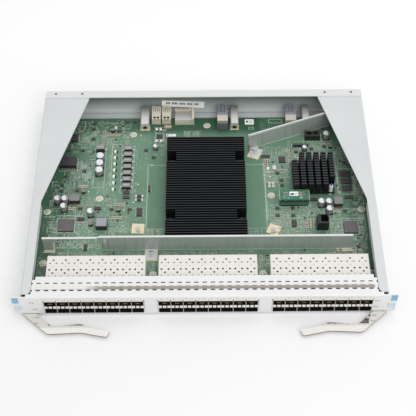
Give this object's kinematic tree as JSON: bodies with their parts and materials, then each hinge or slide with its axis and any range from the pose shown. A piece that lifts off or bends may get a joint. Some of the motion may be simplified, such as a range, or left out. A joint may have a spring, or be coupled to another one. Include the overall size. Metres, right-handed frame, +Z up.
{
  "type": "switch line card",
  "caption": "Plug-in network line card: open tray with slotted front panel, stacked port cages, green board with finned heatsinks, air baffles, rear guard and two ejector levers.",
  "frame": {"origin": "middle of the tray's underside, halfway along and across the card", "axes": "+X across the card to the right seen from the panel, +Y from the front panel to the backplane edge, +Z up, out of the open side of the tray"},
  "size_m": [0.4366, 0.3592, 0.0387],
  "materials": {
    "zinc_sheet": "satin",
    "panel_sheet": "satin",
    "spring_strip": "satin",
    "blue_pad": "matte",
    "cage_sheet": "satin",
    "port_plastic": "matte",
    "circuit_board": "satin",
    "bright_screw": "polished",
    "chip_plastic": "matte",
    "black_aluminium": "matte",
    "push_plastic": "matte",
    "baffle_sheet": "satin",
    "die_cast": "satin",
    "ivory_plastic": "matte",
    "grey_plastic": "matte",
    "black_plastic": "satin",
    "can_aluminium": "satin",
    "choke_case": "matte",
    "polished_steel": "polished",
    "bracket_steel": "matte"
  },
  "bodies": {
    "card": {"array_chips": "chip_plastic", "baffle_screws": "bright_screw", "base_tray": "zinc_sheet", "board_screws": "bright_screw", "board_standoffs": "bright_screw", "cage_left": "cage_sheet", "cage_middle": "cage_sheet", "cage_right": "cage_sheet", "crystals": "bright_screw", "daughter_headers": "black_plastic", "daughterboard": "circuit_board", "diagonal_baffle": "baffle_sheet", "drum_inductors": "chip_plastic", "electrolytic_capacitors": "can_aluminium", "finger_gasket": "spring_strip", "front_panel": "panel_sheet", "guard_screws": "bright_screw", "guide_sockets": "die_cast", "heatsink_screws": "bright_screw", "leaded_chips": "chip_plastic", "lever_brackets": "bracket_steel", "lever_pins": "bright_screw", "long_baffle": "baffle_sheet", "main_board": "circuit_board", "main_heatsink": "black_aluminium", "memory_chips": "chip_plastic", "module_pins": "bright_screw", "output_chokes": "choke_case", "panel_end_pads": "blue_pad", "pin_heatsink": "black_aluminium", "polymer_capacitors": "can_aluminium", "port_dividers_left": "cage_sheet", "port_dividers_middle": "cage_sheet", "port_dividers_right": "cage_sheet", "port_gaskets": "spring_strip", "port_separators_left": "port_plastic", "port_separators_middle": "port_plastic", "port_separators_right": "port_plastic", "port_sockets_left": "port_plastic", "port_sockets_middle": "port_plastic", "port_sockets_right": "port_plastic", "power_connectors": "ivory_plastic", "power_inductors": "chip_plastic", "power_module": "chip_plastic", "power_transistors": "chip_plastic", "processor_chip": "chip_plastic", "push_pins": "push_plastic", "rear_guard": "zinc_sheet", "shroud_core": "die_cast", "shroud_frame": "ivory_plastic", "signal_connectors": "grey_plastic", "small_chips": "chip_plastic", "strip_header": "black_plastic", "switch_chip": "chip_plastic", "test_studs": "bright_screw", "twin_connector": "black_plastic", "upright_jack": "black_plastic"},
    "lever_left": {"lever_left": "polished_steel"},
    "lever_right": {"lever_right": "polished_steel"}
  },
  "joints": [
    {"name": "lever_left_hinge", "type": "hinge", "parent": "card", "child": "lever_left", "pos_m": [-0.202, -0.155, 0.004], "axis": [0, 0, -1], "range_deg": [0, 60]},
    {"name": "lever_right_hinge", "type": "hinge", "parent": "card", "child": "lever_right", "pos_m": [0.202, -0.155, 0.004], "axis": [0, 0, 1], "range_deg": [0, 60]}
  ]
}
